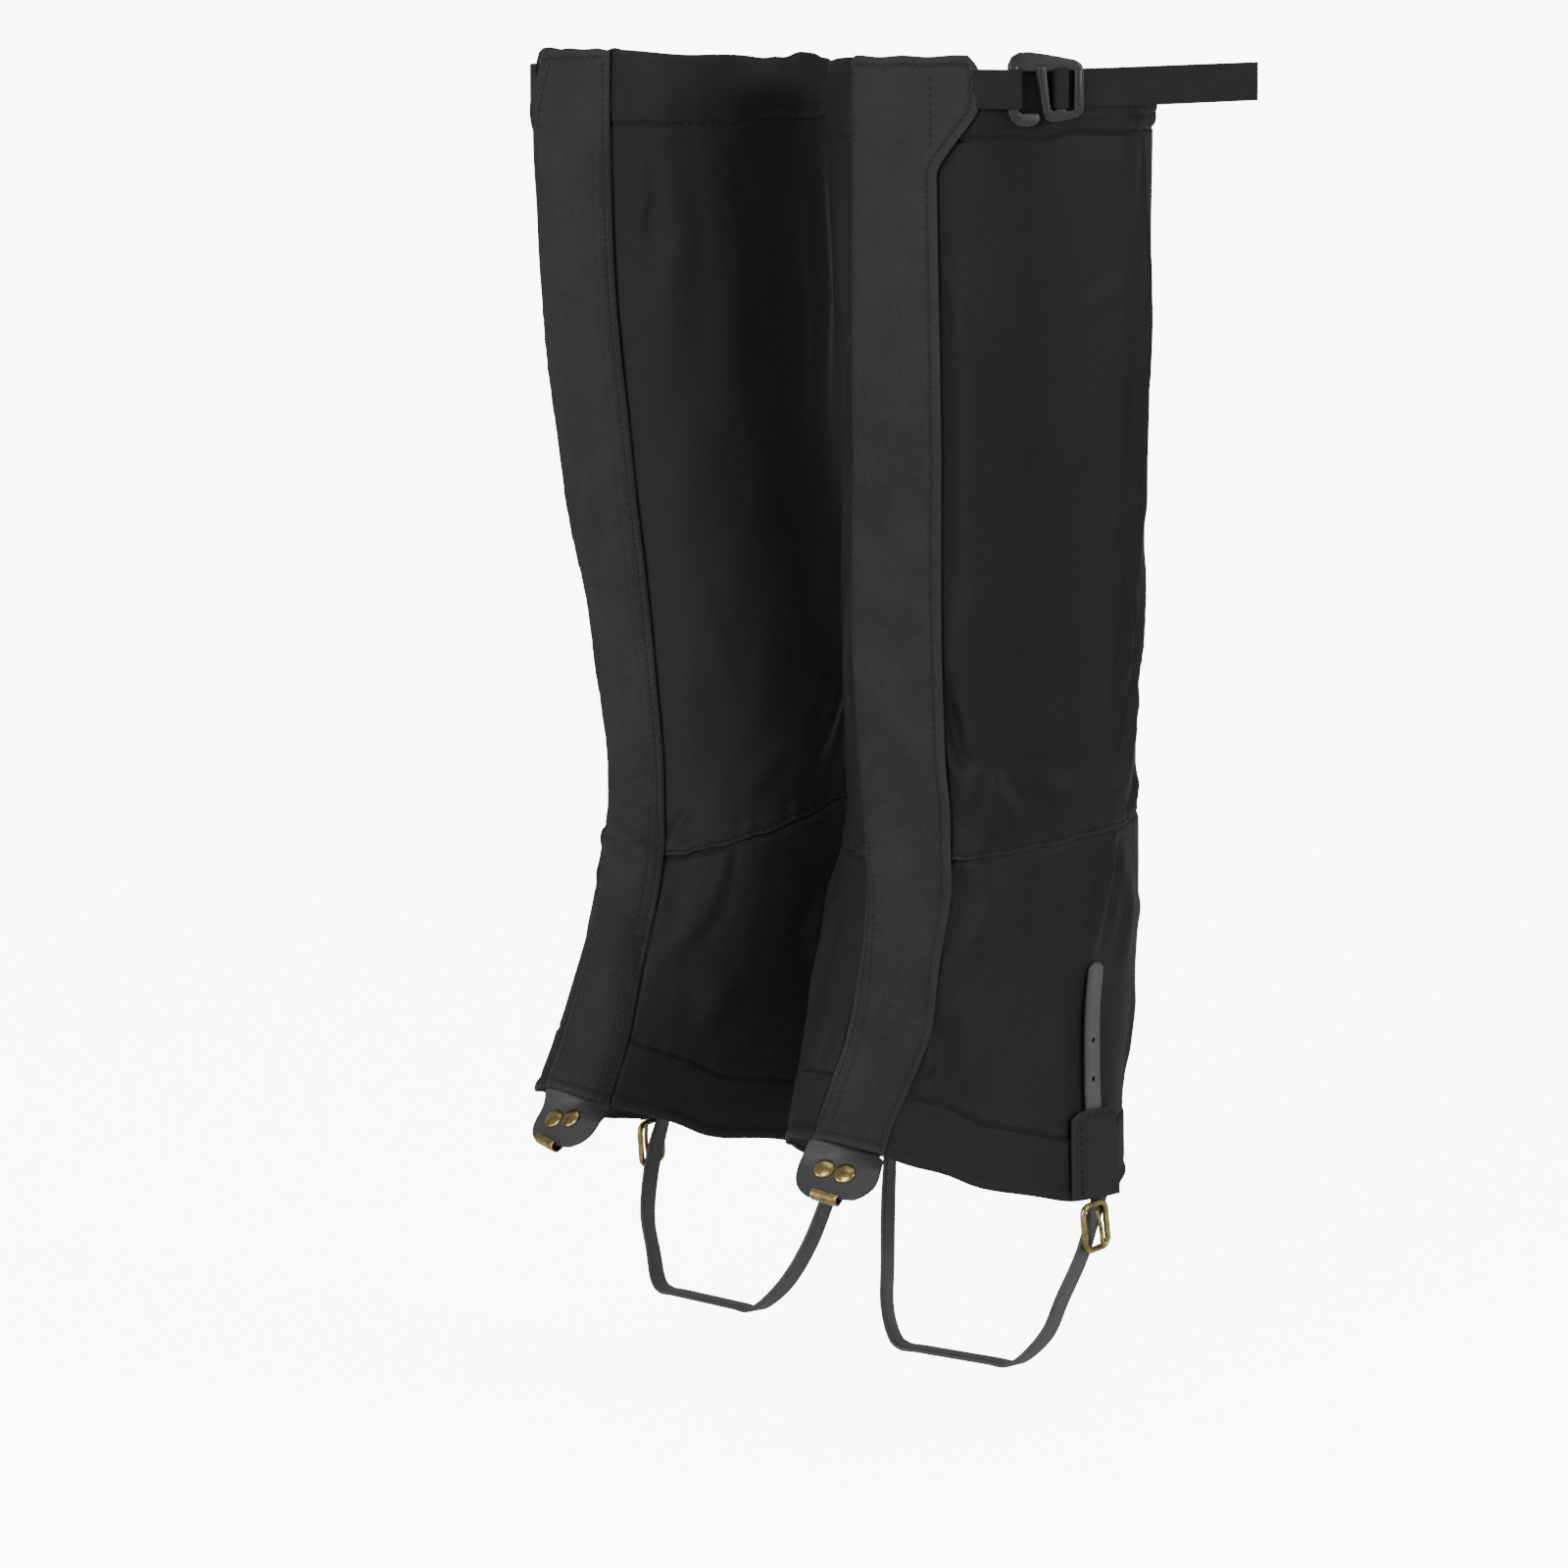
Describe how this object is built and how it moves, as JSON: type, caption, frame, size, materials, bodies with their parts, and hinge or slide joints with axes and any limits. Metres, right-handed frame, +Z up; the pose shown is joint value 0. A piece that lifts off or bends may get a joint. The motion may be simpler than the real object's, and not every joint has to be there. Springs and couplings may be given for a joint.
{
  "type": "pair of hiking leg gaiters",
  "caption": "Pair of tall cloth gaiters in worn form, each with a lapped front flap, buckled top strap, lace hook and strap under the sole.",
  "frame": {"origin": "midway between the two top bands, at the height of the middle of their webbing straps, where the legs hold the pair up", "axes": "+Z up, the pair faces -Y, the left gaiter lies at +X and the right one at -X"},
  "size_m": [0.3042, 0.1997, 0.5194],
  "materials": {
    "leg_cloth": "smooth tight-woven nylon, black",
    "ankle_cloth": "heavier tight-woven nylon, black",
    "flap_cloth": "coarse matt nylon, off-black",
    "closure_tape": "hook-and-loop tape, black",
    "webbing": "ribbed webbing, black",
    "strap_leather": "coated strap material, dark grey, low sheen",
    "buckle_plastic": "moulded, satin",
    "brass": "antique, worn bright at its edges"
  },
  "bodies": {
    "root": {"left_top_casing": "leg_cloth", "left_leg_panel": "leg_cloth", "left_ankle_panel": "ankle_cloth", "left_hem_casing": "ankle_cloth", "left_closure_tape": "closure_tape", "left_front_flap": "flap_cloth", "left_ladder_buckle": "buckle_plastic", "left_buckle_loop": "webbing", "left_webbing_strap": "webbing", "left_lace_tab": "strap_leather", "left_rivet_inner": "brass", "left_rivet_outer": "brass", "left_lace_hook": "brass", "left_foot_strap": "strap_leather", "left_keeper_patch": "ankle_cloth", "left_anchor_patch": "ankle_cloth", "left_prong_frame": "brass", "left_prong": "brass", "right_top_casing": "leg_cloth", "right_leg_panel": "leg_cloth", "right_ankle_panel": "ankle_cloth", "right_hem_casing": "ankle_cloth", "right_closure_tape": "closure_tape", "right_front_flap": "flap_cloth", "right_ladder_buckle": "buckle_plastic", "right_buckle_loop": "webbing", "right_webbing_strap": "webbing", "right_lace_tab": "strap_leather", "right_rivet_inner": "brass", "right_rivet_outer": "brass", "right_lace_hook": "brass", "right_foot_strap": "strap_leather", "right_keeper_patch": "ankle_cloth", "right_anchor_patch": "ankle_cloth", "right_prong_frame": "brass", "right_prong": "brass"}
  },
  "joints": []
}
